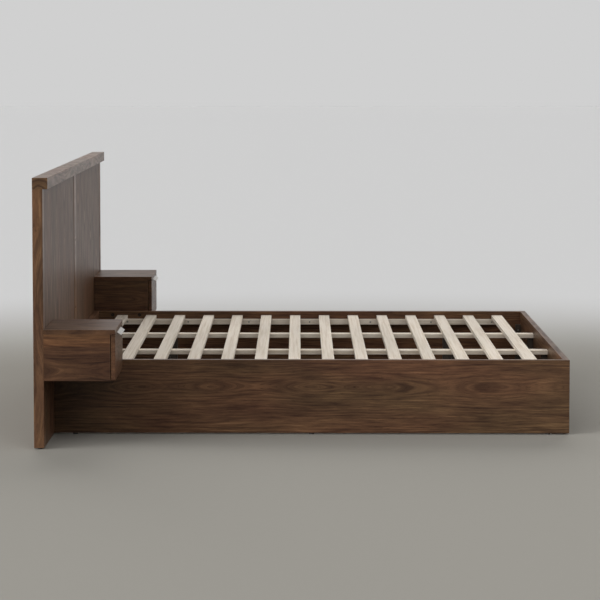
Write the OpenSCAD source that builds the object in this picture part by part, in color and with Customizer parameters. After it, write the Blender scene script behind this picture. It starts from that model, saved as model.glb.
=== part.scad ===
// Platform bed with a panelled headboard and two nightstands that hang from it.
// +X runs from the headboard to the foot, +Z is up, and the bed is symmetric about Y = 0.
// Left is the -Y side. The origin is on the floor, under the middle of the whole bed.
// One-sided pieces are drawn for the right side and mirrored for the left.

/* [Mattress] */
// Width of the mattress
mattress_w = 1524; // [900:1:2000]
// Length of the mattress
mattress_l = 2032; // [1880:1:2200]
// Free space between the mattress and each side rail
mattress_side_gap = 6; // [2:0.5:20]
// Free space between the mattress and the head rail or the foot rail
mattress_end_gap = 4; // [2:0.5:20]
// How far the slats lie below the top edge of the rails
recess_depth = 18; // [12:1:60]

/* [Rails] */
// Thickness of the side, head and foot rails
rail_t = 25; // [20:0.5:35]
// Height of the rails' top edge above the floor
rail_top = 305; // [260:1:400]

/* [Slats and their supports] */
// Width of a slat
slat_w = 50; // [35:1:90]
// Thickness of a slat
slat_t = 18; // [12:0.5:25]
// Free space between a slat's end and the side rail
slat_end_gap = 2; // [1:0.5:8]
// Side of the square cleats and support blocks
cleat_w = 25; // [20:0.5:30]
// Inset of each end of a cleat from the far edge of the outermost slat
cleat_inset = 10; // [2:1:25]
// Distance from a cleat's end to its first screw
cleat_screw_end = 41; // [15:1:120]
// Width of a support beam
beam_w = 50; // [42:1:80]
// Thickness of a support beam
beam_t = 18; // [14:0.5:24]
// Length of a support block
block_l = 170; // [120:1:190]
// Side of the square support legs
leg_w = 38; // [30:1:48]
// Diameter of a floor glide
glide_d = 20; // [14:0.5:24]
// Height of a floor glide
glide_h = 6; // [3:0.5:12]

/* [Headboard] */
// Thickness of the headboard's posts
post_t = 40; // [36:0.5:60]
// Width of an end post
end_post_w = 45; // [36:1:90]
// Width of the centre post
center_post_w = 80; // [40:1:120]
// Height of the posts' top end above the floor
post_top = 1018; // [800:1:1300]
// Thickness of the upper panels
panel_t = 20; // [14:0.5:24]
// How far the upper panels lie behind the front of the posts
panel_recess = 1.5; // [0.5:0.5:8]
// Height of the cap board
cap_h = 44; // [25:1:60]
// Depth of the cap board, from the wall side forwards
cap_d = 60; // [45:1:80]

/* [Nightstands] */
// Width of a nightstand
stand_w = 320; // [280:1:500]
// Depth of a nightstand, from the headboard to the drawer's face
stand_d = 279; // [270:1:420]
// Height of a nightstand, without its pull
stand_h = 200; // [180:1:260]
// How far a nightstand's underside lies below the top edge of the rails
stand_drop = 35; // [30:1:60]
// Thickness of a nightstand's top
stand_top_t = 18; // [15:0.5:25]
// Thickness of a nightstand's sides
stand_side_t = 16; // [15:0.5:20]
// Thickness of a nightstand's bottom
stand_bottom_t = 16; // [12:0.5:20]
// Thickness of a nightstand's back
stand_back_t = 12; // [10:0.5:18]

/* [Drawers] */
// Thickness of the drawer front
front_t = 16; // [12:0.5:22]
// Gap above the drawer front
front_gap_top = 2.5; // [2:0.1:6]
// How far the drawer front stops above the nightstand's underside
front_gap_bottom = 3; // [0:0.5:10]
// How far the drawer front stops inside each side of the nightstand
front_gap_side = 1; // [0:0.5:4]
// Shadow gap between the nightstand's body and the drawer front
face_gap = 3; // [2:0.5:8]
// Thickness of the drawer box's sides and back
box_t = 12; // [9:0.5:16]
// Height of the drawer box's sides
box_h = 120; // [80:1:140]
// Thickness of the drawer's bottom
box_bottom_t = 5; // [3:0.5:8]
// How deep the drawer's bottom enters its grooves
groove_depth = 5; // [3:0.5:6]
// How far the drawer's bottom lies above the lower edge of the sides
groove_rise = 10; // [6:1:20]
// Clear space between the drawer box and the nightstand's back
box_back_gap = 9; // [5:1:20]

/* [Slides] */
// Width that a slide takes between the drawer box and the nightstand's side
slide_space = 13; // [12.5:0.1:15]
// Clear space between a slide and the nightstand's back
slide_back_gap = 7; // [3:1:15]
// Gap in front of the cabinet members, behind the body's front edges
slide_front_gap = 1; // [0.5:0.5:5]
// Height of a slide
slide_h = 35; // [30:0.5:45]
// Thickness of the slides' sheet steel
sheet_t = 1.2; // [1:0.1:1.4]
// Running clearance between two members of a slide
slide_gap = 0.6; // [0.4:0.1:0.8]
// Depth of the outer member's flanges
slide_flange = 9; // [8:0.1:10]

/* [Pulls] */
// Length of a pull
pull_l = 156; // [60:1:220]
// Thickness of a pull's metal
pull_t = 1.5; // [1:0.1:1.9]
// How far a pull stands out from the drawer's face
pull_out = 16; // [10:0.5:25]
// How far a pull's lip drops towards its tip
pull_drop = 11; // [4:0.5:16]
// Length of a pull's leg behind the drawer front
pull_leg = 20; // [14:0.5:24]

/* [Fasteners] */
// Length of a wood screw
screw_l = 35; // [32:0.5:38]
// Diameter of a wood screw's shank
screw_d = 4; // [3:0.1:5]
// Diameter of a wood screw's head
screw_head_d = 8; // [7:0.1:10]
// Length of a connector bolt under its head
bolt_l = 35; // [30:0.5:36]
// Diameter of a connector bolt's shank
bolt_d = 6; // [5:0.1:8]
// Diameter of a connector bolt's head
bolt_head_d = 17; // [14:0.5:18]
// Thickness of a connector bolt's head
bolt_head_t = 2.5; // [2:0.1:3]
// Diameter of a dowel
dowel_d = 6; // [5:0.1:8]
// Length of a dowel
dowel_l = 24; // [18:0.5:26]

/* [Edges and fits] */
// Width of the eased edge along each visible board
ease = 1; // [0.5:0.1:2]
// Clearance round a fastener in its hole
hole_gap = 0.1; // [0.05:0.05:0.3]
// Clearance past the end of a fastener in its hole
hole_end_gap = 0.3; // [0.2:0.1:1]
// Clearance on each face of a panel in its groove
groove_gap = 0.15; // [0.1:0.05:0.4]

/* [Hidden] */

round_fn = 48;
small_fn = 24;
slat_count = 14;
cleat_screw_count = 7;
cut = 1; // how far a cutting shape runs past the face that it cuts

// Colours of the finishes
walnut = "#5a4231";
walnut_light = "#6b5443";
poplar = "#cdbfaa";
birch = "#c9b48f";
dark_stain = "#2b2623";
steel = "#9a9c9e";
nickel = "#c8c4c1";
bronze = "#3b332c";
nylon = "#3a3a3a";

// Plan of the bed
inner_w = mattress_w + 2 * mattress_side_gap;
inner_l = mattress_l + 2 * mattress_end_gap;
rail_face = inner_w / 2 + rail_t;
half_w = rail_face + stand_w;
total_l = post_t + rail_t + inner_l + rail_t;
back_x = -total_l / 2;
front_of_post = back_x + post_t;
head_inner = front_of_post + rail_t;
foot_inner = head_inner + inner_l;
foot_outer = foot_inner + rail_t;

// Heights of the bed
slat_top = rail_top - recess_depth;
slat_under = slat_top - slat_t;
cleat_under = slat_under - cleat_w;
beam_under = slat_under - beam_t;
slat_gap = (inner_l - slat_count * slat_w) / (slat_count + 1);
beam_y = inner_w / 6;
leg_slats = [3, 7, 12];
leg_xs = [for (i = leg_slats) slat_center(i)];

// Plan and heights of a nightstand
stand_z = rail_top - stand_drop;
stand_top = stand_z + stand_h;
stand_under_top = stand_top - stand_top_t;
stand_face = front_of_post + stand_d;
body_face = stand_face - front_t - face_gap;
back_face = front_of_post + stand_back_t;
stand_in_y = rail_face + stand_side_t;
stand_out_y = half_w - stand_side_t;
stand_mid_y = (rail_face + half_w) / 2;

// Drawer
front_back_x = stand_face - front_t;
front_z = stand_z + front_gap_bottom;
front_top = stand_under_top - front_gap_top;
box_in_y = stand_in_y + slide_space;
box_out_y = stand_out_y - slide_space;
box_back_x = back_face + box_back_gap;
slide_z = (stand_z + stand_bottom_t + stand_under_top) / 2;
box_z = slide_z - box_h / 2;
box_bottom_z = box_z + groove_rise;
slide_front_x = body_face - slide_front_gap;
slide_back_x = back_face + slide_back_gap;

// Headboard
panel_front_x = front_of_post - panel_recess;
panel_mid_x = panel_front_x - panel_t / 2;
post_mid_x = back_x + post_t / 2;
end_post_y = half_w - end_post_w;
lower_top = stand_top;

// Directions that a fastener points in, as rotations of +Z
to_front = [0, 90, 0];
to_back = [0, -90, 0];
to_right = [-90, 0, 0];
to_left = [90, 0, 0];
to_top = [0, 0, 0];
to_floor = [180, 0, 0];

// Points at fractions of the way from a to b
function between(a, b, parts) = [for (p = parts) a + (b - a) * p];

// Fractions of a joint's length at which its fasteners lie
near_ends = [0.15, 0.85];
near_ends_and_middle = [0.15, 0.5, 0.85];
at_fifths = [0.2, 0.8];
at_quarters = [0.25, 0.75];
near_middle = [0.35, 0.65];
off_far_end = [0.2, 0.6]; // the far end stays free for what else is fixed there
side_bolt_parts = [0.35, 0.85];
head_bolt_y_parts = [0.12, 0.7];
head_bolt_z_parts = [0.3, 0.7];

function slat_start(i) = head_inner + slat_gap * i + slat_w * (i - 1);
function slat_center(i) = slat_start(i) + slat_w / 2;
cleat_head = slat_start(1) + cleat_inset;
cleat_foot = slat_start(slat_count) + slat_w - cleat_inset;

// Where each fastener starts and points, for the right half of the bed: [place, direction]
cleat_screws = [for (x = between(cleat_head + cleat_screw_end, cleat_foot - cleat_screw_end,
                                 [for (i = [0:cleat_screw_count - 1]) i / (cleat_screw_count - 1)]))
    [[x, inner_w / 2 - cleat_w, cleat_under + cleat_w / 2], to_right]];
corner_z = cleat_under - block_l;
corner_side_screws = [for (x = [head_inner + cleat_w / 2, foot_inner - cleat_w / 2],
                           z = between(corner_z, cleat_under, near_ends))
    [[x, inner_w / 2 - cleat_w, z], to_right]];
corner_head_screws = [for (z = between(corner_z, cleat_under, near_middle))
    [[head_inner + cleat_w, inner_w / 2 - cleat_w / 2, z], to_back]];
corner_foot_screws = [for (z = between(corner_z, cleat_under, near_middle))
    [[foot_inner - cleat_w, inner_w / 2 - cleat_w / 2, z], to_front]];
beam_block_z = beam_under - block_l;
beam_head_screws = [for (z = between(beam_block_z, beam_under, off_far_end))
    [[head_inner + cleat_w, beam_y, z], to_back]];
beam_foot_screws = [for (z = between(beam_block_z, beam_under, off_far_end))
    [[foot_inner - cleat_w, beam_y, z], to_front]];
beam_top_screws = [for (x = concat([head_inner + cleat_w / 2], leg_xs, [foot_inner - cleat_w / 2]))
    [[x, beam_y, slat_under], to_floor]];
right_screws = concat(cleat_screws, corner_side_screws, corner_head_screws, corner_foot_screws,
                      beam_head_screws, beam_foot_screws, beam_top_screws);

bolt_edge = 13; // centre of a bolt from the edge of the board that it holds
stand_bolts = [for (y = [stand_in_y + bolt_edge, stand_out_y - bolt_edge],
                    z = [stand_z + stand_bottom_t + bolt_edge, stand_under_top - bolt_edge])
    [[back_face, y, z], to_back]];
side_bolts = [for (x = between(front_of_post, body_face, side_bolt_parts))
    [[x, inner_w / 2, rail_top - stand_drop / 2], to_right]];
head_bolts = [for (y = between(0, inner_w / 2, head_bolt_y_parts),
                   z = between(glide_h, rail_top, head_bolt_z_parts))
    [[head_inner, y, z], to_back]];
right_bolts = concat(stand_bolts, side_bolts, head_bolts);

// A dowel's place is the joint that it crosses
cap_dowels = concat(
    [[[post_mid_x, half_w - end_post_w / 2, post_top], to_top]],
    [for (y = between(center_post_w / 2, end_post_y, at_fifths)) [[panel_mid_x, y, post_top], to_top]]);
center_dowel = [[post_mid_x, 0, post_top], to_top];
lower_dowels = [for (y = [center_post_w / 2, end_post_y],
                     z = between(glide_h, lower_top, near_ends_and_middle))
    [[post_mid_x, y, z], to_right]];
panel_dowels = concat(
    [for (y = [center_post_w / 2, end_post_y], z = between(lower_top, post_top, at_quarters))
        [[panel_mid_x, y, z], to_right]],
    [for (y = between(center_post_w / 2, end_post_y, at_fifths)) [[panel_mid_x, y, lower_top], to_top]]);
top_dowels = [for (x = between(front_of_post, body_face, at_fifths),
                   y = [rail_face + stand_side_t / 2, half_w - stand_side_t / 2])
    [[x, y, stand_under_top], to_top]];
bottom_dowels = [for (x = between(front_of_post, body_face, off_far_end), y = [stand_in_y, stand_out_y])
    [[x, y, stand_z + stand_bottom_t / 2], to_right]];
back_dowels = [for (y = [stand_in_y, stand_out_y],
                    z = between(stand_z + stand_bottom_t, stand_under_top, near_middle))
    [[front_of_post + stand_back_t / 2, y, z], to_right]];
right_dowels = concat(cap_dowels, lower_dowels, panel_dowels, top_dowels, bottom_dowels, back_dowels);

// Where the glides stand, for the right half
glide_inset = 60; // centre of a glide from the end of the board above it
right_glides = concat(
    [for (x = [head_inner + glide_inset, (head_inner + foot_inner) / 2, foot_inner - glide_inset])
        [x, rail_face - rail_t / 2]],
    [for (x = [front_of_post + rail_t / 2, foot_outer - rail_t / 2]) [x, inner_w / 4]],
    [[post_mid_x, half_w - end_post_w / 2], [post_mid_x, end_post_y / 3]],
    [for (x = leg_xs) [x, beam_y]]);

// Draws its children as they are on the right, or mirrored to the left
module on_side(side) {
    if (side == "left") mirror([0, 1, 0]) children();
    else children();
}

// Draws its children on both sides
module both_sides() {
    children();
    mirror([0, 1, 0]) children();
}

// Puts a child at each place, pointing in its direction
module at_places(places) {
    for (p = places) translate(p[0]) rotate(p[1]) children();
}

// Outline of a board's section with its four corners eased
function eased(w, h, c) =
    [[c, 0], [w - c, 0], [w, c], [w, h - c], [w - c, h], [c, h], [0, h - c], [0, c]];

// Board between two opposite corners, with the edges that run along one axis eased
module board(low, high, along = "x", c = ease) {
    s = high - low;
    translate(low) {
        if (along == "x") rotate([90, 0, 90]) linear_extrude(s[0]) polygon(eased(s[1], s[2], c));
        if (along == "y") translate([0, s[1], 0]) rotate([90, 0, 0])
            linear_extrude(s[1]) polygon(eased(s[0], s[2], c));
        if (along == "z") linear_extrude(s[2]) polygon(eased(s[0], s[1], c));
    }
}

// Plain block between two opposite corners
module block(low, high) {
    translate(low) cube(high - low);
}

// Fasteners, each with its top at the surface and running along +Z
module wood_screw() {
    cone = (screw_head_d - screw_d) / 2;
    slot_w = 1;
    slot_deep = 1.4;
    difference() {
        rotate_extrude($fn = round_fn) polygon([[0, 0], [screw_head_d / 2, 0], [screw_d / 2, cone],
            [screw_d / 2, screw_l - screw_d], [0, screw_l]]);
        for (turn = [0, 90]) rotate(turn) translate([-screw_d / 2, -slot_w / 2, -cut])
            cube([screw_d, slot_w, slot_deep + cut]);
    }
}

module wood_screw_hole() {
    cone = (screw_head_d - screw_d) / 2;
    rotate_extrude($fn = round_fn) polygon([[0, -cut], [screw_head_d / 2 + hole_gap, -cut],
        [screw_head_d / 2 + hole_gap, 0], [screw_d / 2 + hole_gap, cone],
        [screw_d / 2 + hole_gap, screw_l + hole_end_gap], [0, screw_l + hole_end_gap]]);
}

bolt_sink = 0.5; // how far a bolt's head lies below the surface
bolt_seat = bolt_sink + bolt_head_t;

module connector_bolt() {
    key = 4;
    key_deep = 1.75;
    difference() {
        union() {
            translate([0, 0, bolt_sink]) cylinder(h = bolt_head_t, d = bolt_head_d, $fn = round_fn);
            translate([0, 0, bolt_seat - cut]) cylinder(h = bolt_l + cut, d = bolt_d, $fn = round_fn);
        }
        translate([0, 0, -cut])
            cylinder(h = bolt_sink + key_deep + cut, d = key * 2 / sqrt(3), $fn = 6);
    }
}

module connector_bolt_hole() {
    translate([0, 0, -cut]) cylinder(h = bolt_seat + cut, d = bolt_head_d + 4 * hole_gap, $fn = round_fn);
    cylinder(h = bolt_seat + bolt_l + hole_end_gap, d = bolt_d + 2 * hole_gap, $fn = round_fn);
}

// Dowel centred on the joint that it crosses
module dowel() {
    translate([0, 0, -dowel_l / 2]) cylinder(h = dowel_l, d = dowel_d, $fn = round_fn);
}

module dowel_hole() {
    l = dowel_l + 2 * hole_end_gap;
    translate([0, 0, -l / 2]) cylinder(h = l, d = dowel_d + 2 * hole_gap, $fn = round_fn);
}

// Floor glide: a disc under the board, with a nail that runs up into it
glide_nail_d = 3;
glide_nail_l = 12;

module glide() {
    cylinder(h = glide_h, d = glide_d, $fn = round_fn);
    translate([0, 0, glide_h - cut]) cylinder(h = glide_nail_l + cut, d = glide_nail_d, $fn = small_fn);
}

module glide_holes() {
    for (p = right_glides) translate([p[0], p[1], glide_h - cut])
        cylinder(h = glide_nail_l + hole_end_gap + cut, d = glide_nail_d + 2 * hole_gap, $fn = small_fn);
}

// Headboard

module headboard_post(side) {
    color(walnut) on_side(side) difference() {
        board([back_x, end_post_y, glide_h], [front_of_post, half_w, post_top], "z");
        at_places(concat(cap_dowels, lower_dowels, panel_dowels)) dowel_hole();
        at_places(stand_bolts) connector_bolt_hole();
        glide_holes();
    }
}

module headboard_post_center() {
    color(walnut) difference() {
        board([back_x, -center_post_w / 2, glide_h], [front_of_post, center_post_w / 2, post_top], "z");
        both_sides() at_places(concat(lower_dowels, panel_dowels)) dowel_hole();
        at_places([center_dowel]) dowel_hole();
    }
}

// Two halves as thick as the posts. Where they show, between the rails and the nightstands, their
// front is cut back so that it is level with the panels above.
module headboard_lower_boards() {
    color(walnut_light) both_sides() difference() {
        block([back_x, center_post_w / 2, glide_h], [front_of_post, end_post_y, lower_top]);
        block([panel_front_x, center_post_w / 2 - cut, rail_top],
              [front_of_post + cut, rail_face, lower_top + cut]);
        at_places(concat(lower_dowels, panel_dowels)) dowel_hole();
        at_places(concat(stand_bolts, head_bolts)) connector_bolt_hole();
        glide_holes();
    }
}

module headboard_panel(side) {
    color(walnut_light) on_side(side) difference() {
        block([panel_front_x - panel_t, center_post_w / 2, lower_top],
              [panel_front_x, end_post_y, post_top]);
        at_places(concat(cap_dowels, panel_dowels)) dowel_hole();
    }
}

module headboard_cap() {
    color(walnut) difference() {
        board([back_x, -half_w, post_top], [back_x + cap_d, half_w, post_top + cap_h], "y");
        both_sides() at_places(cap_dowels) dowel_hole();
        at_places([center_dowel]) dowel_hole();
    }
}

// Bed box

// What lies past the mitre at the right-hand foot corner, seen from the rail that is kept
module past_mitre(kept) {
    translate([foot_outer, rail_face, 0]) rotate(kept == "side" ? -135 : 45)
        translate([-rail_t * 3, 0, -cut]) cube([rail_t * 6, rail_t * 3, rail_top + 2 * cut]);
}

module side_rail(side) {
    color(walnut) on_side(side) difference() {
        board([front_of_post, inner_w / 2, glide_h], [foot_outer, rail_face, rail_top], "x");
        past_mitre("side");
        at_places(concat(cleat_screws, corner_side_screws)) wood_screw_hole();
        at_places(side_bolts) connector_bolt_hole();
        glide_holes();
    }
}

module head_rail() {
    color(walnut) difference() {
        board([front_of_post, -inner_w / 2, glide_h], [head_inner, inner_w / 2, rail_top], "y");
        both_sides() {
            at_places(concat(corner_head_screws, beam_head_screws)) wood_screw_hole();
            at_places(head_bolts) connector_bolt_hole();
            glide_holes();
        }
    }
}

module foot_rail() {
    color(walnut) difference() {
        board([foot_inner, -rail_face, glide_h], [foot_outer, rail_face, rail_top], "y");
        both_sides() {
            past_mitre("foot");
            at_places(concat(corner_foot_screws, beam_foot_screws)) wood_screw_hole();
            glide_holes();
        }
    }
}

module cleat(side) {
    color(poplar) on_side(side) difference() {
        board([cleat_head, inner_w / 2 - cleat_w, cleat_under], [cleat_foot, inner_w / 2, slat_under], "x");
        at_places(cleat_screws) wood_screw_hole();
    }
}

module beam(side) {
    color(poplar) on_side(side) difference() {
        board([head_inner, beam_y - beam_w / 2, beam_under],
              [foot_inner, beam_y + beam_w / 2, slat_under], "x");
        at_places(beam_top_screws) wood_screw_hole();
    }
}

module support_blocks() {
    color(dark_stain) both_sides() for (x = [head_inner, foot_inner - cleat_w]) {
        difference() {
            board([x, inner_w / 2 - cleat_w, corner_z], [x + cleat_w, inner_w / 2, cleat_under], "z");
            at_places(concat(corner_side_screws, corner_head_screws, corner_foot_screws)) wood_screw_hole();
        }
        difference() {
            board([x, beam_y - cleat_w / 2, beam_block_z],
                  [x + cleat_w, beam_y + cleat_w / 2, beam_under], "z");
            at_places(concat(beam_head_screws, beam_foot_screws, beam_top_screws)) wood_screw_hole();
        }
    }
}

module support_legs() {
    color(dark_stain) both_sides() for (x = leg_xs) difference() {
        board([x - leg_w / 2, beam_y - leg_w / 2, glide_h],
              [x + leg_w / 2, beam_y + leg_w / 2, beam_under], "z");
        at_places(beam_top_screws) wood_screw_hole();
        glide_holes();
    }
}

module slat(i) {
    end_y = inner_w / 2 - slat_end_gap;
    color(poplar)
        board([slat_start(i), -end_y, slat_under], [slat_start(i) + slat_w, end_y, slat_top], "y");
}

module glides() {
    color(nylon) both_sides() for (p = right_glides) translate([p[0], p[1], 0]) glide();
}

module wood_screws() {
    color(steel) both_sides() at_places(right_screws) wood_screw();
}

module connector_bolts() {
    color(bronze) both_sides() at_places(right_bolts) connector_bolt();
}

module dowels() {
    color(birch) {
        both_sides() at_places(right_dowels) dowel();
        at_places([center_dowel]) dowel();
    }
}

// Nightstands

module stand_top(side) {
    color(walnut) on_side(side) difference() {
        board([front_of_post, rail_face, stand_under_top], [stand_face, half_w, stand_top], "y");
        at_places(top_dowels) dowel_hole();
    }
}

module stand_bottom(side) {
    color(walnut) on_side(side) difference() {
        block([front_of_post, stand_in_y, stand_z], [body_face, stand_out_y, stand_z + stand_bottom_t]);
        at_places(bottom_dowels) dowel_hole();
    }
}

module stand_outer_side(side) {
    color(walnut) on_side(side) difference() {
        board([front_of_post, stand_out_y, stand_z], [body_face, half_w, stand_under_top], "z");
        at_places(concat(top_dowels, bottom_dowels, back_dowels)) dowel_hole();
    }
}

module stand_inner_side(side) {
    color(walnut) on_side(side) difference() {
        board([front_of_post, rail_face, stand_z], [body_face, stand_in_y, stand_under_top], "z");
        at_places(concat(top_dowels, bottom_dowels, back_dowels)) dowel_hole();
        at_places(side_bolts) connector_bolt_hole();
    }
}

module stand_back(side) {
    color(walnut) on_side(side) difference() {
        block([front_of_post, stand_in_y, stand_z + stand_bottom_t],
              [back_face, stand_out_y, stand_under_top]);
        at_places(back_dowels) dowel_hole();
        at_places(stand_bolts) connector_bolt_hole();
    }
}

// Drawers

pull_screw_d = 3;
pull_screw_head_d = 6;
pull_screw_head_t = 1;
pull_screw_l = 12;
pull_screw_drop = 12; // from the top of the drawer front
pull_screws = [for (y = between(stand_mid_y - pull_l / 2, stand_mid_y + pull_l / 2, near_ends))
    [[front_back_x - pull_t - hole_gap, y, front_top - pull_screw_drop], to_front]];

module drawer_front(side) {
    color(walnut) on_side(side) difference() {
        board([front_back_x, rail_face + front_gap_side, front_z],
              [stand_face, half_w - front_gap_side, front_top], "z");
        block([front_back_x - cut, box_in_y + box_t - groove_depth, box_bottom_z],
              [front_back_x + groove_depth, box_out_y - box_t + groove_depth,
               box_bottom_z + box_bottom_t + 2 * groove_gap]);
        at_places(pull_screws) cylinder(h = pull_t + pull_screw_l + hole_end_gap,
                                        d = pull_screw_d + 2 * hole_gap, $fn = small_fn);
    }
}

module drawer_sides(side) {
    color(birch) on_side(side) difference() {
        for (y = [box_in_y, box_out_y - box_t])
            board([box_back_x, y, box_z], [front_back_x, y + box_t, box_z + box_h], "x");
        block([box_back_x - cut, box_in_y + box_t - groove_depth, box_bottom_z],
              [front_back_x + cut, box_out_y - box_t + groove_depth,
               box_bottom_z + box_bottom_t + 2 * groove_gap]);
    }
}

module drawer_back(side) {
    color(birch) on_side(side)
        board([box_back_x, box_in_y + box_t, box_bottom_z + box_bottom_t + 2 * groove_gap],
              [box_back_x + box_t, box_out_y - box_t, box_z + box_h], "y");
}

module drawer_bottom(side) {
    color(birch) on_side(side)
        block([box_back_x, box_in_y + box_t - groove_depth + groove_gap, box_bottom_z + groove_gap],
              [front_back_x + groove_depth - groove_gap, box_out_y - box_t + groove_depth - groove_gap,
               box_bottom_z + box_bottom_t + groove_gap]);
}

// Bent strip: a leg behind the drawer front, a flange over its top edge and a lip that slopes out and down
module drawer_pull(side) {
    slope = atan(pull_drop / pull_out);
    inner = [[-front_t, -pull_leg], [-front_t, 0], [0, 0], [pull_out, -pull_drop]];
    outer = [[pull_out + pull_t * sin(slope), -pull_drop + pull_t * cos(slope)],
             [pull_t * tan(slope / 2), pull_t], [-front_t - pull_t, pull_t],
             [-front_t - pull_t, -pull_leg]];
    color(nickel) on_side(side) {
        difference() {
            translate([stand_face, stand_mid_y + pull_l / 2, front_top]) rotate([90, 0, 0])
                linear_extrude(pull_l) polygon(concat(inner, outer));
            at_places(pull_screws) translate([0, 0, -cut])
                cylinder(h = pull_t + 2 * cut, d = pull_screw_d + 2 * hole_gap, $fn = small_fn);
        }
        at_places(pull_screws) {
            translate([0, 0, -pull_screw_head_t])
                cylinder(h = pull_screw_head_t, d = pull_screw_head_d, $fn = small_fn);
            translate([0, 0, -pull_screw_head_t / 2])
                cylinder(h = pull_screw_head_t / 2 + pull_t + pull_screw_l, d = pull_screw_d,
                         $fn = small_fn);
        }
    }
}

// Section of one channel member, from a web at one side to the ends of its flanges
function channel(web, tip, h, t) = let (in = web < tip ? t : -t)
    [[web, -h / 2], [tip, -h / 2], [tip, -h / 2 + t], [web + in, -h / 2 + t],
     [web + in, h / 2 - t], [tip, h / 2 - t], [tip, h / 2], [web, h / 2]];

middle_web = sheet_t + slide_gap;
middle_h = slide_h - 2 * (sheet_t + slide_gap);
inner_h = middle_h - 2 * (sheet_t + slide_gap);
inner_tip = middle_web + sheet_t + slide_gap;

// Draws one member at both sides of a drawer, from the nightstand's side inwards
module slide_pair(web, tip, h) {
    for (turn = [0, 1]) translate([slide_back_x, turn == 0 ? stand_in_y : stand_out_y, slide_z])
        mirror([0, turn, 0]) rotate([90, 0, 90]) linear_extrude(slide_front_x - slide_back_x)
            polygon(channel(web, tip, h, sheet_t));
}

module cabinet_slides() {
    color(steel) both_sides() slide_pair(0, slide_flange, slide_h);
}

module middle_slides(side) {
    color(steel) on_side(side) slide_pair(middle_web, slide_space - sheet_t - slide_gap, middle_h);
}

module drawer_slides(side) {
    color(steel) on_side(side) slide_pair(slide_space, inner_tip, inner_h);
}

headboard_post("left");  // headboard_post_left
headboard_post_center();
headboard_post("right");  // headboard_post_right
headboard_lower_boards();
headboard_panel("left");  // headboard_panel_left
headboard_panel("right");  // headboard_panel_right
headboard_cap();
side_rail("left");  // side_rail_left
side_rail("right");  // side_rail_right
head_rail();
foot_rail();
cleat("left");  // cleat_left
cleat("right");  // cleat_right
beam("left");  // beam_left
beam("right");  // beam_right
support_blocks();
support_legs();
glides();
wood_screws();
connector_bolts();
dowels();
slat(1);  // slat_01
slat(2);  // slat_02
slat(3);  // slat_03
slat(4);  // slat_04
slat(5);  // slat_05
slat(6);  // slat_06
slat(7);  // slat_07
slat(8);  // slat_08
slat(9);  // slat_09
slat(10);  // slat_10
slat(11);  // slat_11
slat(12);  // slat_12
slat(13);  // slat_13
slat(14);  // slat_14
stand_top("left");  // left_stand_top
stand_bottom("left");  // left_stand_bottom
stand_outer_side("left");  // left_stand_outer_side
stand_inner_side("left");  // left_stand_inner_side
stand_back("left");  // left_stand_back
drawer_front("left");  // left_drawer_front
drawer_sides("left");  // left_drawer_sides
drawer_back("left");  // left_drawer_back
drawer_bottom("left");  // left_drawer_bottom
drawer_pull("left");  // left_drawer_pull
middle_slides("left");  // left_middle_slides
drawer_slides("left");  // left_drawer_slides
stand_top("right");  // right_stand_top
stand_bottom("right");  // right_stand_bottom
stand_outer_side("right");  // right_stand_outer_side
stand_inner_side("right");  // right_stand_inner_side
stand_back("right");  // right_stand_back
drawer_front("right");  // right_drawer_front
drawer_sides("right");  // right_drawer_sides
drawer_back("right");  // right_drawer_back
drawer_bottom("right");  // right_drawer_bottom
drawer_pull("right");  // right_drawer_pull
middle_slides("right");  // right_middle_slides
drawer_slides("right");  // right_drawer_slides
cabinet_slides();
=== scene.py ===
import math

import bpy
import numpy as np
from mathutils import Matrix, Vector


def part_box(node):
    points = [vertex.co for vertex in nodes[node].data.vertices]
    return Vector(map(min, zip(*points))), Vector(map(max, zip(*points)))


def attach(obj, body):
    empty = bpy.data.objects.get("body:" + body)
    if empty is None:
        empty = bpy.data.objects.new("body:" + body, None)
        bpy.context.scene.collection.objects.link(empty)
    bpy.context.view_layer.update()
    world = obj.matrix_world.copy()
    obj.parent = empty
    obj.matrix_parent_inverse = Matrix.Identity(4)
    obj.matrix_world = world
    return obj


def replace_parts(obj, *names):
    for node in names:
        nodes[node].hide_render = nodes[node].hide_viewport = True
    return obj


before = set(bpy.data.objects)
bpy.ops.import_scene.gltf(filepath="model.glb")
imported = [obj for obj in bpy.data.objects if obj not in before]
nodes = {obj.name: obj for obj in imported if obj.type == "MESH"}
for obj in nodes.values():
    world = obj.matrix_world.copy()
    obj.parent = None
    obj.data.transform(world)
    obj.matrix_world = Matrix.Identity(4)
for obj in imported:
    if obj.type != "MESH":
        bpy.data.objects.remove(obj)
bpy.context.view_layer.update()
scene = bpy.context.scene
mm = 0.001

# Camera, at the photograph's place and angle

viewpoint = dict(
    place=(-0.0330, -8.6944, 1.5051),
    pitch=0.0655,  # radians below level
    yaw=-0.0065,  # radians towards the foot end
    lens=117.94, sensor=36,  # mm
    shift=(0.0235, -0.18),
    clip=(0.1, 200),  # m
)


def addCamera(v):
    data = bpy.data.cameras.new("camera")
    data.lens, data.sensor_width = v["lens"], v["sensor"]
    data.shift_x, data.shift_y = v["shift"]
    data.clip_start, data.clip_end = v["clip"]
    camera = bpy.data.objects.new("camera", data)
    camera.location = v["place"]
    camera.rotation_euler = (math.pi / 2 - v["pitch"], 0, -v["yaw"])
    scene.collection.objects.link(camera)
    scene.camera = camera


addCamera(viewpoint)
scene.view_settings.view_transform = "Standard"
print("camera set")

# Small helpers for the materials


def toLinear(code):
    # sRGB hex to linear: c / 12.92 below 0.04045, else ((c + 0.055) / 1.055) ** 2.4
    c = np.array([int(code[i:i + 2], 16) for i in (1, 3, 5)]) / 255
    c = np.where(c <= 0.04045, c / 12.92, ((c + 0.055) / 1.055) ** 2.4)
    return (*c.tolist(), 1.0)


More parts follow.
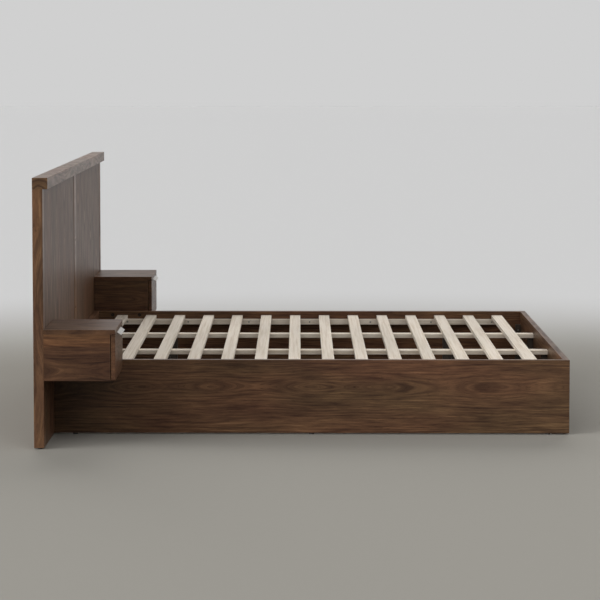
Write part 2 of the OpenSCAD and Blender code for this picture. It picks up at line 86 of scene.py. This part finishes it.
def newMaterial(name):
    material = bpy.data.materials.new(name)
    material.use_nodes = True
    material.node_tree.nodes.clear()
    return material


def addNode(material, kind, settings=None, values=None, links=None):
    # one node: its settings, its fixed socket values, and the sockets that feed it
    tree = material.node_tree
    node = tree.nodes.new("ShaderNode" + kind)
    for key, value in (settings or {}).items():
        setattr(node, key, value)
    for key, value in (values or {}).items():
        node.inputs[key].default_value = value
    for key, source in (links or {}).items():
        tree.links.new(source, node.inputs[key])
    return node


def isSocket(value):
    return isinstance(value, bpy.types.NodeSocket)


def addMaths(material, operation, a, b=None):
    # a Math node on sockets or numbers
    pair = {i: value for i, value in enumerate((a, b)) if value is not None}
    return addNode(material, "Math", {"operation": operation},
                   {i: value for i, value in pair.items() if not isSocket(value)},
                   {i: value for i, value in pair.items() if isSocket(value)}).outputs[0]


def addRange(material, value, start, end, toStart=0.0, toEnd=1.0, smooth=False):
    # maps start..end to toStart..toEnd
    settings = {"interpolation_type": "SMOOTHSTEP"} if smooth else {}
    spans = {"From Min": start, "From Max": end, "To Min": toStart, "To Max": toEnd}
    return addNode(material, "MapRange", settings, spans, {"Value": value}).outputs[0]


def addRamp(material, factor, stops):
    # colour ramp from a list of (position, hex colour or grey)
    ramp = addNode(material, "ValToRGB", links={"Fac": factor})
    band = ramp.color_ramp.elements
    while len(band) < len(stops):
        band.new(0.5)
    for spot, (place, colour) in zip(band, stops):
        spot.position = place
        isHex = isinstance(colour, str)
        spot.color = toLinear(colour) if isHex else (colour, colour, colour, 1)
    return ramp.outputs["Color"]


def addMix(material, factor, a, b, blend="MIX"):
    # mixes two colours; a, b and the factor are sockets, hex colours or numbers
    mix = addNode(material, "Mix", {"data_type": "RGBA", "blend_type": blend})
    for socket, value in ((mix.inputs[0], factor), (mix.inputs[6], a), (mix.inputs[7], b)):
        if isSocket(value):
            material.node_tree.links.new(value, socket)
        else:
            socket.default_value = toLinear(value) if isinstance(value, str) else value
    return mix.outputs[2]


def addNoise(material, vector, scale, detail, roughness=0.5, offset=(0, 0, 0)):
    # noise on a vector, with the scale given per axis
    spot = addNode(material, "Mapping", values={"Location": offset, "Scale": scale},
                   links={"Vector": vector})
    return addNode(material, "TexNoise",
                   values={"Scale": 1.0, "Detail": detail, "Roughness": roughness},
                   links={"Vector": spot.outputs["Vector"]}).outputs["Fac"]


def addBump(material, height, strength, depth):
    # relief of that depth, in m
    return addNode(material, "Bump", values={"Strength": strength, "Distance": depth},
                   links={"Height": height}).outputs[0]


def objectPlace(material):
    return addNode(material, "TexCoord").outputs["Object"]


def splitAxes(material, vector):
    return addNode(material, "SeparateXYZ", links={0: vector}).outputs


def finishSurface(material, values, links):
    shader = addNode(material, "BsdfPrincipled", values=values, links=links)
    addNode(material, "OutputMaterial", links={"Surface": shader.outputs["BSDF"]})
    return material


def grainScale(along, across, length):
    # Mapping scale for a pattern "across" mm wide and "length" mm long, on the given axis
    return [1000 / (length if axis == along else across) for axis in "XYZ"]


# Walnut veneer with a dull lacquer.
# The lacquer is thin and half matt, so the wood keeps its colour and turns only a little grey at
# a low angle. Flat-cut veneer shows growth rings as long pointed arches round an eye, with
# straight lines at both sides, and fine dark pores and paler threads along them.

walnut = dict(
    tones=[(0.0, "#271c15"), (0.3, "#453126"), (0.5, "#5a4232"), (0.7, "#6e523d"),
           (1.0, "#916f53")],
    red=(1.07, 0.97, 0.95, 1),  # slow drift of hue, as factors on the tone
    olive=(0.95, 1.01, 0.93, 1),
    hueStops=[(0.35, 0.0), (0.65, 1.0)],
    light="#7d5d43", edgeHighlightShare=0.45,  # painted highlight on eased edges, partly rubbed wear
    edgeNormal=(0.95, 0.75),  # largest part of the normal, on a flat face and on an eased edge
    ringSpacing=11,  # mm between growth rings, drawn wider than the real 3 mm so that they show
    ringTones=[(0.0, 0.30), (0.16, 0.50), (0.6, 0.58), (0.9, 0.48), (1.0, 0.30)],
    # patterns that follow the rings: length, width and depth in mm, detail, roughness, offset
    thread=(140, 9, 50, 3, 0.62, 11),  # wider than the real threads, so that they show
    broad=(420, 55, 125, 2, 0.5, 23),
    pore=(26, 1.8, 5, 2, 0.6, 37),  # wider than the real pores of 0.3 mm
    # slow changes over the board: width and length in mm, and offset
    wander=(300, 420, 5),
    heave=(60, 500, 9),
    drift=(160, 700, 29),
    slowDetail=2,
    wanderDepth=0.03,  # m
    heaveDepth=0.025,  # m
    threadWeight=1.2, broadWeight=0.5, ringWeight=0.45, level=0.57,
    poreStops=[(0.30, 0.45), (0.42, 1.0)], poreShare=0.7,
    archDepth=0.02,  # m, how far the cut wanders from the heart between two eyes
    archLength=0.718,  # m from one eye to the next
    leafWidth=0.26,  # m, width of one sheet of veneer on a wide panel
    leafShift=0.11,  # m, how far the arches move on from one sheet to the next
    seedOffset=(1.7, 0.9, 2.3),
    ior=1.25,  # a thin, dull lacquer reflects less than a full one
    glossStops=(0.3, 0.7), glossSwing=(0.06, -0.04),
    reliefShare=0.5,  # share of the pores in the relief, beside the threads
    bump=(0.15, 0.0005),  # strength, and depth in m
)


def makeWalnut(node, along, across, seed, heart=None, plane=None, eye=None, leaf=False, sap=None,
               paintedLightGain=1.0, roughness=0.35):
    # along and across: axes of the grain and of the board's width
    # heart: the arches' middle line; eye: place of one eye along the grain
    # plane: the board's place along the third axis, the same for boards whose grain runs on
    # leaf: sheets side by side; sap: where a lighter strip begins and ends
    w = walnut
    m = newMaterial("walnut_" + node)
    low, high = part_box(node)
    middle = {axis: (low[i] + high[i]) / 2 for i, axis in enumerate("XYZ")}
    place = objectPlace(m)
    axes = splitAxes(m, place)

    def maths(operation, a, b=None):
        return addMaths(m, operation, a, b)

    def pattern(vector, scale, detail, rough, turn):
        x, y, z = (seed * step for step in w["seedOffset"])
        return addNoise(m, vector, scale, detail, rough, (x + turn, y, z))

    def slow(size):
        width, length, turn = size
        return pattern(place, grainScale(along, width, length), w["slowDetail"], 0.5, turn)

    third = "XYZ".replace(along, "").replace(across, "")
    run = axes[along]
    depth = maths("SUBTRACT", axes[third], middle[third] if plane is None else plane)
    width = maths("SUBTRACT", axes[across], middle[across] if heart is None else heart)
    if leaf:
        # the width starts again at each joint, and the arches move on
        turns = maths("DIVIDE", width, w["leafWidth"])
        width = maths("MULTIPLY", maths("SUBTRACT", maths("FRACT", turns), 0.5), w["leafWidth"])
        run = maths("ADD", run, maths("MULTIPLY", maths("FLOOR", turns), w["leafShift"]))
    # depth of the cut: archDepth * (1 - cos(2 pi (run - eye) / archLength)), plus a slow wander
    angle = maths("MULTIPLY", maths("SUBTRACT", run, seed if eye is None else eye),
                  2 * math.pi / w["archLength"])
    arch = maths("MULTIPLY", maths("SUBTRACT", 1.0, maths("COSINE", angle)), w["archDepth"])
    wander = maths("MULTIPLY", maths("SUBTRACT", slow(w["wander"]), 0.5), w["wanderDepth"])
    cut = maths("ADD", maths("ADD", arch, wander), depth)
    # ring distance: sqrt(width ** 2 + cut ** 2), bent a little by a finer noise
    ring = maths("SQRT", maths("ADD", maths("POWER", width, 2.0), maths("POWER", cut, 2.0)))
    ring = maths("ADD", ring, maths("MULTIPLY", slow(w["heave"]), w["heaveDepth"]))
    flow = addNode(m, "CombineXYZ", links={0: run, 1: ring, 2: depth}).outputs[0]

    def alongRings(size):
        *millimetres, detail, rough, turn = size
        return pattern(flow, [1000 / length for length in millimetres], detail, rough, turn)

    band = addRamp(m, maths("FRACT", maths("MULTIPLY", ring, 1000 / w["ringSpacing"])),
                   w["ringTones"])
    thread, broad, pore = (alongRings(w[name]) for name in ("thread", "broad", "pore"))

    # value: the weighted sum of thread, broad and band, less a level that puts its mean near 0.5
    value = maths("ADD", maths("MULTIPLY", thread, w["threadWeight"]),
                  maths("MULTIPLY", broad, w["broadWeight"]))
    value = maths("SUBTRACT", maths("ADD", value, maths("MULTIPLY", band, w["ringWeight"])),
                  w["level"])
    colour = addRamp(m, value, w["tones"])
    hue = addRamp(m, slow(w["drift"]), w["hueStops"])
    colour = addMix(m, 1.0, colour, addMix(m, hue, w["olive"], w["red"]), "MULTIPLY")
    pores = addRamp(m, pore, w["poreStops"])
    colour = addMix(m, w["poreShare"], colour, pores, "MULTIPLY")
    # brightness gain per board, scaled to the light it shows: painted light above 1, painted
    # shade below 1
    colour = addMix(m, 1.0, colour, (paintedLightGain, paintedLightGain, paintedLightGain, 1), "MULTIPLY")
    if sap:
        # lighter strip: a soft step along Z
        rise = addRange(m, axes["Z"], sap["start"], sap["full"], smooth=True)
        colour = addMix(m, rise, addMix(m, 1.0, colour, sap["below"], "MULTIPLY"),
                        addMix(m, 1.0, colour, sap["above"], "MULTIPLY"))

    # eased edges are the faces whose normal follows no axis: there the colour is painted lighter,
    # a painted highlight where the edge catches light, partly rubbed wear
    normal = addNode(m, "TexCoord").outputs["Normal"]
    size = addNode(m, "VectorMath", {"operation": "ABSOLUTE"}, links={0: normal}).outputs[0]
    parts = splitAxes(m, size)
    most = maths("MAXIMUM", maths("MAXIMUM", parts[0], parts[1]), parts[2])
    edge = maths("MULTIPLY", addRange(m, most, *w["edgeNormal"]), w["edgeHighlightShare"])
    colour = addMix(m, edge, colour, w["light"])

    gloss = addRange(m, thread, *w["glossStops"], *(roughness + d for d in w["glossSwing"]))
    relief = addMix(m, w["reliefShare"], thread, pores)
    return finishSurface(m, {"IOR": w["ior"]}, {
        "Base Color": colour, "Roughness": gloss, "Normal": addBump(m, relief, *w["bump"])})


# Sawn and sanded poplar: pale, dry and dull, with faint grey-brown streaks along the slat

poplar = dict(
    base="#e3d8c9", dark="#d0c1ad", speck="#ab9a85",
    # patterns: width and length in mm, detail, offset
    streakSize=(8, 320, 3, 3), boardSize=(140, 900, 1, 17), speckSize=(2.6, 14, 2, 29),
    noiseRoughness=0.55, seedOffset=(1.0, 0.7, 1.9),
    streakStops=(0.32, 0.56),
    boardTones=[(0.3, 0.88), (0.7, 1.06)],  # each slat is cut from another board
    speckStops=[(0.28, 1.0), (0.40, 0.0)], speckShare=0.4,
    roughness=0.72, ior=1.45, bump=(0.2, 0.0005),
)


def makePoplar(name, along, seed, settings=poplar):
    p = settings
    m = newMaterial(name)
    place = objectPlace(m)

    def pattern(size):
        width, length, detail, turn = size
        x, y, z = (seed * step for step in p["seedOffset"])
        return addNoise(m, place, grainScale(along, width, length), detail,
                        p["noiseRoughness"], (x + turn, y, z))

    streak, board, speck = (pattern(p[name]) for name in ("streakSize", "boardSize", "speckSize"))
    tone = addRamp(m, streak, list(zip(p["streakStops"], (p["dark"], p["base"]))))
    tone = addMix(m, 1.0, tone, addRamp(m, board, p["boardTones"]), "MULTIPLY")
    share = addMaths(m, "MULTIPLY", addRamp(m, speck, p["speckStops"]), p["speckShare"])
    return finishSurface(m, {"Roughness": p["roughness"], "IOR": p["ior"]}, {
        "Base Color": addMix(m, share, tone, p["speck"]),
        "Normal": addBump(m, streak, *p["bump"])})


# Clear lacquered birch plywood: near-white faces, and thin light and dark plies at the edges

birchPly = dict(
    face="#cfbb97", streak="#bfa57c", edgeDark="#8d6f4a",
    grainSize=(9, 260), plyThickness=1.3,  # mm
    grainDetail=4, grainRoughness=0.6, seedOffset=(1, 2, 3),
    grainStops=(0.3, 0.6), plyStops=(0.0, 0.2),
    roughness=0.5, ior=1.48, bump=(0.15, 0.0004),
)


def makeBirchPly(name, along, stack, seed):
    p = birchPly
    m = newMaterial(name)
    coords = addNode(m, "TexCoord").outputs
    grain = addNoise(m, coords["Object"], grainScale(along, *p["grainSize"]), p["grainDetail"],
                     p["grainRoughness"], [seed * step for step in p["seedOffset"]])
    face = addRamp(m, grain, list(zip(p["grainStops"], (p["streak"], p["face"]))))
    # plies: a sine across the thickness, shown on the faces that the stack's axis runs along
    axis = "XYZ".index(stack)
    turns = addMaths(m, "MULTIPLY", splitAxes(m, coords["Object"])[axis],
                     math.pi * 1000 / p["plyThickness"])
    plies = addRamp(m, addMaths(m, "SINE", turns),
                    list(zip(p["plyStops"], (p["edgeDark"], p["face"]))))
    flat = addMaths(m, "ABSOLUTE", splitAxes(m, coords["Normal"])[axis])
    return finishSurface(m, {"Roughness": p["roughness"], "IOR": p["ior"]}, {
        "Base Color": addMix(m, flat, plies, face), "Normal": addBump(m, grain, *p["bump"])})


# Beech under a dark stain, dark enough to pass for the shade under the slats, so partly painted
# shade: the pores stay darker, and the wood between them shows brown

stainShadeBeech = dict(
    stainShade="#2f2822", pale="#43372d",
    grainSize=(5, 120),  # mm
    grainDetail=4, grainStops=(0.35, 0.7), roughness=0.55, bump=(0.2, 0.0004),
)


def makeStainShadeBeech(name):
    s = stainShadeBeech
    m = newMaterial(name)
    grain = addNoise(m, objectPlace(m), grainScale("Z", *s["grainSize"]), s["grainDetail"])
    tone = addRamp(m, grain, list(zip(s["grainStops"], (s["stainShade"], s["pale"]))))
    return finishSurface(m, {"Roughness": s["roughness"]}, {
        "Base Color": tone, "Normal": addBump(m, grain, *s["bump"])})


# Metals: nickel brushed along the pull, bright zinc plate with faint rolling marks, and steel
# bolts under a dark bronze finish

metals = dict(  # base and shade, axis, width and length of the marks in mm, roughness
    nickel=("#cbc7c2", "#b9b4ae", "Y", 0.5, 60, 0.3),
    slideZinc=("#a4a8ab", "#8f9396", "X", 1.2, 80, 0.34),
    screwZinc=("#9a9c98", "#85867f", "Z", 2.0, 2, 0.42),
    bronze=("#3f372f", "#302a24", "Z", 2.0, 2, 0.45),
)
metalMarks = dict(detail=3, toneStops=(0.3, 0.65), glossStops=(0.3, 0.7),
                  glossSwing=(-0.05, 0.09), bump=(0.15, 0.0001))


def makeMetal(name, metal):
    base, shade, along, width, length, roughness = metals[metal]
    s = metalMarks
    m = newMaterial(name)
    lines = addNoise(m, objectPlace(m), grainScale(along, width, length), s["detail"])
    gloss = addRange(m, lines, *s["glossStops"], *(roughness + d for d in s["glossSwing"]))
    tone = addRamp(m, lines, list(zip(s["toneStops"], (shade, base))))
    return finishSurface(m, {"Metallic": 1.0}, {
        "Base Color": tone, "Roughness": gloss, "Normal": addBump(m, lines, *s["bump"])})


# Moulded nylon: dark, dull, with a fine spark-eroded skin

nylon = dict(
    dark="#242424", light="#343434",
    skinSize=5 / 9,  # mm
    skinDetail=2, skinStops=(0.3, 0.7), roughness=0.55, bump=(0.3, 0.0001),
)


def makeNylon(name):
    s = nylon
    m = newMaterial(name)
    skin = addNoise(m, objectPlace(m), [1000 / s["skinSize"]] * 3, s["skinDetail"])
    tone = addRamp(m, skin, list(zip(s["skinStops"], (s["dark"], s["light"]))))
    return finishSurface(m, {"Roughness": s["roughness"]}, {
        "Base Color": tone, "Normal": addBump(m, skin, *s["bump"])})


# The solids' materials


def dress(material, *names):
    for name in names:
        slots = nodes[name].data.materials
        slots.clear()
        slots.append(material)


def both(*parts):
    # names of these pieces at both sides of the bed
    return [side + "_" + part for part in parts for side in ("left", "right")]


# railHeart and sideHeart: middle line of the arches, in m; railEye: one eye along the rail, in m
arches = dict(railHeart=0.195, sideHeart=0.31, railEye=0.886)
topSap = dict(start=0.398, full=0.408,  # m
              below=(0.86, 0.86, 0.86, 1), above=(1.22, 1.15, 1.04, 1))
# gain below 1 on the headboard panels: painted shade
sheets = dict(seed=9.0, heart=0.0, plane=-1.0265, leaf=True,  # plane: the panels' front, in m
              paintedLightGain=0.86, roughness=0.4)
# gain above 1 on the posts and cap: painted highlight where their faces catch more light
headboard = dict(paintedLightGain=1.15, roughness=0.31)
# stand tops, bottoms, inner sides, backs and drawer fronts darkened by gain: painted shade
standPaintedShade = dict(paintedLightGain=0.8)
walnutBoards = (  # the boards, the axes of their grain and width, and what sets them apart; a brightness gain above 1 is painted light, below 1 painted shade
    (["headboard_post_left", "headboard_post_center", "headboard_post_right"],
     "Z", "Y", headboard),
    (["headboard_panel_left", "headboard_panel_right", "headboard_lower_boards"],
     "Z", "Y", sheets),
    (["headboard_cap"], "Y", "X", dict(headboard, paintedLightGain=1.07)),
    # side rails' gain above 1: painted light; head and foot rails' and stand outer sides' gains
    # below 1: painted shade
    (["side_rail_left", "side_rail_right"], "X", "Z",
     dict(heart=arches["railHeart"], eye=arches["railEye"], paintedLightGain=1.04)),
    (["head_rail", "foot_rail"], "Y", "Z", dict(heart=arches["railHeart"], paintedLightGain=0.85)),
    (both("stand_outer_side"), "X", "Z", dict(heart=arches["sideHeart"], sap=topSap, paintedLightGain=0.82)),
    (both("stand_top", "stand_bottom"), "X", "Y", standPaintedShade),
    (both("stand_inner_side"), "X", "Z", standPaintedShade),
    (both("stand_back", "drawer_front"), "Y", "Z", standPaintedShade),
)
seeds = dict(walnut=3.1, walnutStep=1.37, birch=31, birchStep=7.3, birchBack=3, birchBottom=5,
             slatStep=2.7, lengthwise=51.0, dowel=71.0)

seed = seeds["walnut"]
for names, along, across, options in walnutBoards:
    for name in names:
        dress(makeWalnut(name, along, across, **{"seed": seed, **options}), name)
        seed += seeds["walnutStep"]
for number, side in enumerate(("left", "right")):
    seed = seeds["birch"] + number * seeds["birchStep"]
    for part, along, stack, turn in (("sides", "X", "Y", 0),
                                     ("back", "Y", "X", seeds["birchBack"]),
                                     ("bottom", "X", "Z", seeds["birchBottom"])):
        dress(makeBirchPly(f"birch_ply_{side}_{part}", along, stack, seed + turn),
              f"{side}_drawer_{part}")
slats = sorted(name for name in nodes if name.startswith("slat_"))
for number, name in enumerate(slats, 1):
    dress(makePoplar("poplar_" + name, "Y", number * seeds["slatStep"]), name)
dress(makePoplar("poplar_lengthwise", "X", seeds["lengthwise"]),
      "cleat_left", "cleat_right", "beam_left", "beam_right")
dress(makePoplar("fluted_beech_dowel", "Z", seeds["dowel"],
                 dict(poplar, base="#cdb08a", dark="#b9996f")), "dowels")
# legs and blocks under the slats: their dark tone is partly painted shade
dress(makeStainShadeBeech("stain_and_shade_beech"), "support_legs", "support_blocks")
dress(makeMetal("bright_zinc_slide", "slideZinc"),
      "cabinet_slides", *both("middle_slides", "drawer_slides"))
screwZinc = makeMetal("zinc_plated_screw", "screwZinc")
dress(screwZinc, "wood_screws")
brushedNickel = makeMetal("brushed_satin_nickel", "nickel")
dress(brushedNickel, *both("drawer_pull"))
dress(makeMetal("dark_bronze_bolt", "bronze"), "connector_bolts")
dress(makeNylon("moulded_nylon"), "glides")
print("materials on", len(nodes), "solids")

# New pieces, as surfaces on grids


def gridFaces(rows, columns, closeColumns=False):
    # quads between neighbours of a rows x columns grid, wrapped round where its columns close
    r = np.arange(rows - 1)[:, None]
    c = np.arange(columns if closeColumns else columns - 1)[None, :]
    at = lambda i, j: i * columns + j % columns
    return np.stack([at(r, c), at(r, c + 1), at(r + 1, c + 1), at(r + 1, c)], -1).reshape(-1, 4)


def addPiece(name, points, faces, material, body):
    mesh = bpy.data.meshes.new(name)
    mesh.from_pydata(np.asarray(points, float).reshape(-1, 3).tolist(), [],
                     [list(f) for f in faces])
    mesh.validate()
    mesh.materials.append(material)
    mesh.polygons.foreach_set("use_smooth", np.full(len(mesh.polygons), True))
    piece = bpy.data.objects.new(name, mesh)
    scene.collection.objects.link(piece)
    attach(piece, body)
    return piece


# Edge pull: a nickel strip bent round the top edge of the drawer front, with a sloping lip
pull = dict(
    length=156 * mm, thickness=1.5 * mm, leg=20 * mm, reach=16 * mm, drop=11 * mm,
    bend=0.15 * mm,  # inside radius: the strip hugs the board's edge
    steps=7,  # points round each bend
    soft=0.25 * mm, softSteps=2, softAngle=50,  # eased edges; degrees
    # the drawer front: its thickness, top edge, middle and front face
    frontThickness=16 * mm, frontTop=449.5 * mm, middle=953 * mm, face=-746 * mm,
)


def pullSection(p):
    # Centre line of the strip: straight runs joined by arcs of radius bend + thickness / 2.
    # Each point is then moved half a thickness along its normal, to both sides.
    t = p["thickness"]
    slope = math.atan2(p["drop"], p["reach"])
    radius = p["bend"] + t / 2
    turn = lambda a, b: np.linspace(a, b, p["steps"])
    first, second = turn(math.pi, math.pi / 2), turn(math.pi / 2, math.pi / 2 - slope)
    corner = np.array([-p["frontThickness"] + p["bend"], -p["bend"]])
    edge = np.array([-p["bend"] * math.tan(slope / 2), -p["bend"]])
    angles = np.concatenate([[math.pi], first, second, [math.pi / 2 - slope]])
    normal = np.stack([np.cos(angles), np.sin(angles)], 1)
    line = np.concatenate([
        [[-p["frontThickness"] - t / 2, -p["leg"]]],
        corner + radius * np.stack([np.cos(first), np.sin(first)], 1),
        edge + radius * np.stack([np.cos(second), np.sin(second)], 1),
        [np.array([p["reach"], -p["drop"]]) + t / 2 * normal[-1]]])
    return line - normal * t / 2, line + normal * t / 2


def addPull(side, sign):
    p = pull
    inner, outer = pullSection(p)
    ring = np.concatenate([inner, outer[::-1]])  # closed section in x and z
    count = len(ring)
    along = p["middle"] + p["length"] * np.array([-0.5, 0.5])
    points = np.empty((2, count, 3))
    points[..., 0] = p["face"] + ring[:, 0]
    points[..., 1] = sign * along[:, None]
    points[..., 2] = p["frontTop"] + ring[:, 1]
    strip = gridFaces(2, count, closeColumns=True)
    i = np.arange(len(inner) - 1)
    cap = np.stack([i, i + 1, count - 2 - i, count - 1 - i], 1)
    ends = np.concatenate([cap, cap[:, ::-1] + count])
    # the mirrored side has its faces turned over
    faces = np.concatenate([strip[:, ::-1], ends] if sign > 0 else [strip, ends[:, ::-1]])
    piece = addPiece(side + "_edge_pull", points, faces, brushedNickel, side + "_drawer")
    soften = piece.modifiers.new("soft edges", "BEVEL")
    soften.width, soften.segments, soften.limit_method = p["soft"], p["softSteps"], "ANGLE"
    soften.angle_limit = math.radians(p["softAngle"])
    return piece


# Turned pieces: a profile of (radius, height) carried round an axis
def turned(profile, sides):
    # points: radius * cos(angle), radius * sin(angle), height; faces go round and up
    profile = np.asarray(profile, float)
    angle = np.linspace(0, 2 * math.pi, sides, endpoint=False)
    points = np.empty((len(profile), sides, 3))
    points[..., 0] = profile[:, 0, None] * np.cos(angle)
    points[..., 1] = profile[:, 0, None] * np.sin(angle)
    points[..., 2] = profile[:, 1, None]
    faces = [list(f) for f in gridFaces(len(profile), sides, closeColumns=True)]
    last = (len(profile) - 1) * sides
    ends = [list(range(sides))[::-1], list(range(last, last + sides))]
    return points.reshape(-1, 3), faces + ends


# Small pan-head screws that hold the pull from inside the drawer
pullScrew = dict(
    radius=3 * mm, rise=1 * mm, seat=-763.6 * mm, height=437.5 * mm,
    ratios=(0.15, 0.85),  # places along the pull, as shares of its length
    sides=24, steps=7, sweep=0.93,  # sweep: share of the quarter ellipse before the flat crown
)


def addPullScrews(side, sign):
    s, p = pullScrew, pull
    # head profile: a quarter of an ellipse, radius * cos(u) and rise * sin(u), closed by its seat
    u = np.linspace(0, math.pi / 2 * s["sweep"], s["steps"])
    profile = np.stack([s["radius"] * np.cos(u), s["rise"] * np.sin(u)], 1)
    points, faces = turned(profile, s["sides"])
    everyPoint, everyFace = [], []
    for ratio in s["ratios"]:
        y = sign * (p["middle"] + p["length"] * (ratio - 0.5))
        placed = np.stack([s["seat"] - points[:, 2], y + points[:, 1],
                           s["height"] + points[:, 0]], 1)
        everyFace += [[i + len(points) * len(everyPoint) for i in f] for f in faces]
        everyPoint.append(placed)
    return addPiece(side + "_pull_screws", np.concatenate(everyPoint), everyFace, screwZinc,
                    side + "_drawer")


for side, sign in (("left", -1), ("right", 1)):
    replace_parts(addPull(side, sign), side + "_drawer_pull")
    addPullScrews(side, sign)
print("pulls made")

# Floor, background and light

room = dict(
    floor="#9c9992", distant="#cfcfcf", background="#d0d0d0", bounce="#8a867f",
    centre=(0, -1.2, 0), size=60.0,  # m
    near=2.6, far=5.6,  # m from the centre: between them the floor's tone passes into distant
    glow=0.05,  # strength of the even light from the world
    roughness=0.9,
)


def paleFor(m):
    # camera, glossy and transmission rays see the pale colour; light that bounces sees less
    ray = addNode(m, "LightPath").outputs
    seen = addMaths(m, "MAXIMUM", ray["Is Camera Ray"], ray["Is Glossy Ray"])
    return addMaths(m, "MAXIMUM", seen, ray["Is Transmission Ray"])


def addFloor(r):
    m = newMaterial("pale_floor")
    away = addNode(m, "VectorMath", {"operation": "DISTANCE"}, {1: r["centre"]},
                   {0: objectPlace(m)}).outputs["Value"]
    fade = addRange(m, away, r["near"], r["far"], smooth=True)
    seen = addMix(m, fade, r["floor"], r["distant"])
    finishSurface(m, {"Roughness": r["roughness"], "Specular IOR Level": 0.0},
                  {"Base Color": addMix(m, paleFor(m), r["bounce"], seen)})
    edge = r["size"] * np.array([[-1, -1, 0], [1, -1, 0], [1, 1, 0], [-1, 1, 0]])
    mesh = bpy.data.meshes.new("floor")
    mesh.from_pydata(edge.tolist(), [], [[0, 1, 2, 3]])
    mesh.materials.append(m)
    floor = bpy.data.objects.new("floor", mesh)
    scene.collection.objects.link(floor)


def addWorld(r):
    world = bpy.data.worlds.new("studio")
    scene.world = world
    world.use_nodes = True
    world.node_tree.nodes.clear()
    lit = addNode(world, "Background", values={"Color": (1, 1, 1, 1), "Strength": r["glow"]})
    shown = addNode(world, "Background",
                    values={"Color": toLinear(r["background"]), "Strength": 1.0})
    mix = addNode(world, "MixShader", links={
        0: paleFor(world), 1: lit.outputs[0], 2: shown.outputs[0]})
    addNode(world, "OutputWorld", links={"Surface": mix.outputs[0]})


# Each lamp: the direction it comes from (azimuth from +X towards +Y, and height) and its width,
# in degrees. A lamp without shine makes no reflection, so the tops stay dull.
lamps = dict(
    window=dict(azimuth=199, height=7, strength=3.3, width=32),
    windowHead=dict(azimuth=200, height=28, strength=0.8, width=40),
    key=dict(azimuth=240, height=42, strength=0.65, width=40),
    fill=dict(azimuth=310, height=40, strength=0.7, width=44),
    foot=dict(azimuth=10, height=26, strength=0.6, width=40),
    behind=dict(azimuth=90, height=28, strength=2.1, width=56, shine=False),
)


def addLamps():
    for name, lamp in lamps.items():
        data = bpy.data.lights.new(name, "SUN")
        data.energy, data.angle = lamp["strength"], math.radians(lamp["width"])
        light = bpy.data.objects.new(name, data)
        light.visible_glossy = lamp.get("shine", True)
        light.rotation_euler = (0, math.radians(90 - lamp["height"]),
                                math.radians(lamp["azimuth"]))
        scene.collection.objects.link(light)


addFloor(room)
addWorld(room)
addLamps()
print("stage lit")
